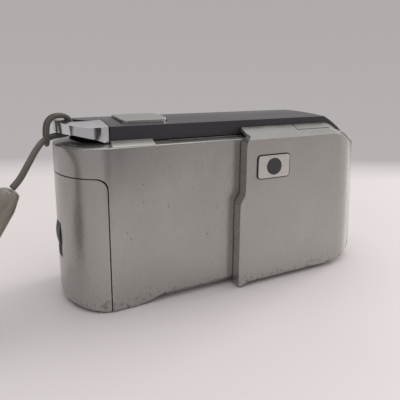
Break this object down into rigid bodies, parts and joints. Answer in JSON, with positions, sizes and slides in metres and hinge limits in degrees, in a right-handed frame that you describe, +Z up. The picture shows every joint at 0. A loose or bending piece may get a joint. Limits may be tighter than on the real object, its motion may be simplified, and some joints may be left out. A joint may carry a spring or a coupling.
{
  "type": "compact digital camera with sliding lens cover",
  "caption": "Compact digital camera with a sliding lens cover, rounded grip end, dark top deck, wrap-around battery door, rear screen and keys, and a wrist strap on a chrome bar.",
  "frame": {"origin": "middle of the camera's bottom face, on the surface it stands on; the wrist strap is left out of this", "axes": "+X along the camera's width, away from the strap end; -Y is the front with the lens; +Z up"},
  "size_m": [0.1895, 0.0436, 0.0543],
  "materials": {
    "silver_paint": "satin metallic silver paint",
    "dark_paint": "dark charcoal, satin",
    "chrome_trim": "polished",
    "satin_metal": "satin",
    "black_plastic": "matte",
    "clear_glass": "clear window",
    "red_lens": "gloss",
    "steel": "plain",
    "brass_contact": "plain",
    "circuit_board": "solder mask",
    "cell_jacket": "printed jacket",
    "card_plastic": "matte",
    "strap_cord": "woven",
    "grey_gloss": "gloss"
  },
  "bodies": {
    "camera_body": {"front_shell": "silver_paint", "back_shell": "silver_paint", "top_cover": "dark_paint", "strap_bracket": "chrome_trim", "door_pin": "steel", "shutter_spring": "steel", "shutter_switch": "black_plastic", "guide_rod": "steel", "lens_bezel": "black_plastic", "lens_barrel": "black_plastic", "lens_glass": "clear_glass", "image_sensor": "black_plastic", "flash_window": "clear_glass", "flash_reflector": "chrome_trim", "flash_tube": "clear_glass", "flash_capacitor": "black_plastic", "viewfinder_window": "clear_glass", "viewfinder_tunnel": "black_plastic", "viewfinder_eyepiece": "black_plastic", "timer_lamp": "red_lens", "lcd_window": "clear_glass", "lcd_panel": "black_plastic", "key_board": "circuit_board", "main_board": "circuit_board", "chassis_plate": "steel", "battery_box": "black_plastic", "battery_1": "cell_jacket", "battery_2": "cell_jacket", "battery_contact": "brass_contact", "card_socket": "black_plastic", "memory_card": "card_plastic", "tripod_bush": "brass_contact", "screw_base_left": "steel", "screw_base_right": "steel", "screw_base_mid": "steel", "screw_base_front": "steel", "port_block": "black_plastic", "usb_socket": "steel", "strap_tether": "strap_cord", "strap_connector": "grey_gloss", "wrist_cord_in": "strap_cord", "wrist_cord_out": "strap_cord", "wrist_coil": "strap_cord"},
    "sliding_cover": {"lens_cover": "silver_paint", "cover_carriage": "black_plastic", "badge_plate": "satin_metal", "badge_disc": "dark_paint"},
    "shutter_release": {"shutter_button": "silver_paint"},
    "cell_door": {"battery_door": "silver_paint", "door_contact": "brass_contact"},
    "cell_door_latch": {"door_latch": "black_plastic"},
    "flap": {"port_flap": "silver_paint"},
    "zoom_key": {"zoom_rocker": "silver_paint"},
    "share_key": {"share_button": "silver_paint"},
    "flash_key": {"flash_button": "silver_paint"},
    "left_key": {"left_button": "silver_paint"},
    "menu_key": {"menu_button": "silver_paint"},
    "right_key": {"right_button": "silver_paint"},
    "playback_key": {"playback_button": "silver_paint"}
  },
  "joints": [
    {"name": "lens_cover_slide", "type": "slide", "parent": "camera_body", "child": "sliding_cover", "axis": [-1, 0, 0], "range_m": [0, 0.026]},
    {"name": "shutter_press", "type": "slide", "parent": "camera_body", "child": "shutter_release", "axis": [0, 0, -1], "range_m": [0, 0.0008], "stiffness_N_per_m": 1500, "deforming": ["shutter_spring"]},
    {"name": "battery_door_hinge", "type": "hinge", "parent": "camera_body", "child": "cell_door", "pos_m": [-0.0415, 0.0161, 0.02], "axis": [0, 0, -1], "range_deg": [0, 90]},
    {"name": "door_latch_slide", "type": "slide", "parent": "cell_door", "child": "cell_door_latch", "axis": [0, 0, -1], "range_m": [0, 0.002]},
    {"name": "port_flap_hinge", "type": "hinge", "parent": "camera_body", "child": "flap", "pos_m": [0.05035, 0.0071, 0.0215], "axis": [0, 0, 1], "range_deg": [0, 95]},
    {"name": "zoom_rock", "type": "hinge", "parent": "camera_body", "child": "zoom_key", "pos_m": [-0.0294, 0.015, 0.041], "axis": [0, 0, 1], "range_deg": [-4, 4], "stiffness_Nm_per_rad": 0.02},
    {"name": "share_press", "type": "slide", "parent": "camera_body", "child": "share_key", "axis": [0, -1, 0], "range_m": [0, 0.0004], "stiffness_N_per_m": 1500},
    {"name": "flash_press", "type": "slide", "parent": "camera_body", "child": "flash_key", "axis": [0, -1, 0], "range_m": [0, 0.0004], "stiffness_N_per_m": 1500},
    {"name": "left_press", "type": "slide", "parent": "camera_body", "child": "left_key", "axis": [0, -1, 0], "range_m": [0, 0.0004], "stiffness_N_per_m": 1500},
    {"name": "menu_press", "type": "slide", "parent": "camera_body", "child": "menu_key", "axis": [0, -1, 0], "range_m": [0, 0.0004], "stiffness_N_per_m": 1500},
    {"name": "right_press", "type": "slide", "parent": "camera_body", "child": "right_key", "axis": [0, -1, 0], "range_m": [0, 0.0004], "stiffness_N_per_m": 1500},
    {"name": "playback_press", "type": "slide", "parent": "camera_body", "child": "playback_key", "axis": [0, -1, 0], "range_m": [0, 0.0004], "stiffness_N_per_m": 1500}
  ]
}
